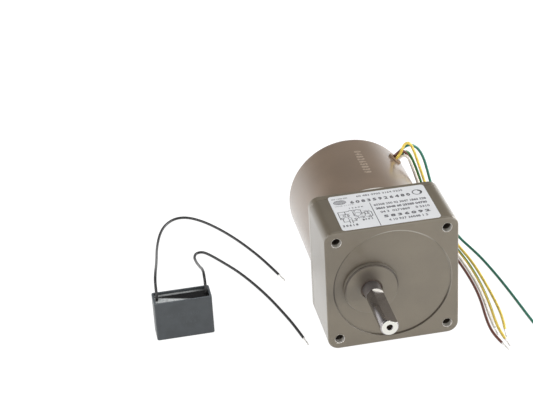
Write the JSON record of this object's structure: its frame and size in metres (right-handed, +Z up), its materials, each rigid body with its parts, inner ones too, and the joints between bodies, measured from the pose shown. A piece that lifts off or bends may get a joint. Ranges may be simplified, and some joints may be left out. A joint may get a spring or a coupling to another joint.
{
  "type": "geared induction motor with run capacitor",
  "caption": "Small square-flanged geared AC motor with an offset output shaft, coloured flying leads and a separate box capacitor with two leads.",
  "frame": {"origin": "centre of the gear case's underside", "axes": "+Z up, -Y the way the output shaft points, +X to the right when looking at the shaft's end with the label on top; the rotor's axis is the line x = 0, z = 0.030 m"},
  "size_m": [0.1741, 0.1698, 0.0602],
  "materials": {
    "case_paint": "semi-gloss taupe paint",
    "housing_paint": "semi-gloss taupe paint on steel tube",
    "die_cast": "die-cast aluminium",
    "screw_steel": "zinc plated",
    "shaft_steel": "ground steel",
    "gear_steel": "hardened steel, oiled",
    "bearing_steel": "polished bearing steel",
    "spring_steel": "spring steel",
    "bronze": "sintered bronze",
    "seal_rubber": "black nitrile",
    "grommet_rubber": "brown rubber",
    "lamination": "stacked electrical sheet",
    "liner": "slot insulation",
    "winding_wire": "enamelled copper wire",
    "rotor_cast": "cast aluminium",
    "label": "satin white film",
    "brown_wire": "soft insulation",
    "white_wire": "soft insulation",
    "striped_wire": "soft insulation, green and yellow",
    "yellow_wire": "soft insulation",
    "green_wire": "soft insulation",
    "black_wire": "soft insulation",
    "tinned": "tinned strands",
    "capacitor_plastic": "dark moulded case",
    "film_winding": "metallised film",
    "spray_metal": "sprayed metal",
    "resin": "glossy black resin"
  },
  "bodies": {
    "housing": {"gear_case": "case_paint", "gear_cover": "die_cast", "cover_screws": "screw_steel", "arbor_bushes": "bronze", "output_seal": "seal_rubber", "output_bearing_outer_rings": "bearing_steel", "front_bracket": "case_paint", "pinion_seal": "seal_rubber", "assembly_screws": "screw_steel", "motor_housing": "housing_paint", "lead_grommet": "grommet_rubber", "stator_core": "lamination", "slot_liners": "liner", "main_coils": "winding_wire", "auxiliary_coils": "winding_wire", "rotor_bearing_outer_rings": "bearing_steel", "rear_bracket": "case_paint", "wave_spring": "spring_steel", "through_bolts": "screw_steel", "rating_label": "label", "brown_lead": "brown_wire", "white_lead": "white_wire", "striped_lead": "striped_wire", "yellow_lead": "yellow_wire", "green_lead": "green_wire", "brown_lead_tip": "tinned", "white_lead_tip": "tinned", "striped_lead_tip": "tinned", "yellow_lead_tip": "tinned", "green_lead_tip": "tinned"},
    "rotor": {"rotor_shaft": "gear_steel", "rotor_core": "lamination", "rotor_cage": "rotor_cast", "rotor_bearing_inner_rings": "bearing_steel"},
    "first_arbor": {"first_gear": "gear_steel", "first_pinion_shaft": "gear_steel"},
    "second_arbor": {"second_gear": "gear_steel", "second_pinion_shaft": "gear_steel"},
    "output": {"output_shaft": "shaft_steel", "output_gear": "gear_steel", "output_key": "shaft_steel", "output_spacer": "screw_steel", "output_circlip": "spring_steel", "output_bearing_inner_rings": "bearing_steel"},
    "rotor_balls": {"rotor_bearing_balls": "bearing_steel", "rotor_bearing_cages": "screw_steel"},
    "output_balls": {"output_bearing_balls": "bearing_steel", "output_bearing_cages": "screw_steel"},
    "capacitor": {"capacitor_case": "capacitor_plastic", "capacitor_winding": "film_winding", "capacitor_end_spray": "spray_metal", "capacitor_potting": "resin", "capacitor_left_lead": "black_wire", "capacitor_right_lead": "black_wire", "capacitor_left_lead_tip": "tinned", "capacitor_right_lead_tip": "tinned"}
  },
  "joints": [
    {"name": "rotor_spin", "type": "hinge", "parent": "housing", "child": "rotor", "pos_m": [0, 0, 0.03], "axis": [0, -1, 0], "continuous": true},
    {"name": "first_arbor_spin", "type": "hinge", "parent": "housing", "child": "first_arbor", "pos_m": [0.01275, 0, 0.03138], "axis": [0, -1, 0], "continuous": true},
    {"name": "second_arbor_spin", "type": "hinge", "parent": "housing", "child": "second_arbor", "pos_m": [0.00379, 0, 0.01843], "axis": [0, -1, 0], "continuous": true},
    {"name": "output_spin", "type": "hinge", "parent": "housing", "child": "output", "pos_m": [-0.01, 0, 0.03], "axis": [0, -1, 0], "continuous": true},
    {"name": "rotor_balls_roll", "type": "hinge", "parent": "housing", "child": "rotor_balls", "pos_m": [0, 0, 0.03], "axis": [0, -1, 0], "continuous": true},
    {"name": "output_balls_roll", "type": "hinge", "parent": "housing", "child": "output_balls", "pos_m": [-0.01, 0, 0.03], "axis": [0, -1, 0], "continuous": true},
    {"name": "capacitor_lift", "type": "slide", "parent": "housing", "child": "capacitor", "axis": [0, 0, 1], "range_m": [0, 0.06]}
  ],
  "couplings": [
    {"joint": "first_arbor_spin", "follows": "rotor_spin", "ratio": -0.26667},
    {"joint": "second_arbor_spin", "follows": "rotor_spin", "ratio": 0.083333},
    {"joint": "output_spin", "follows": "rotor_spin", "ratio": -0.027778},
    {"joint": "rotor_balls_roll", "follows": "rotor_spin", "ratio": 0.4},
    {"joint": "output_balls_roll", "follows": "rotor_spin", "ratio": -0.011111}
  ]
}
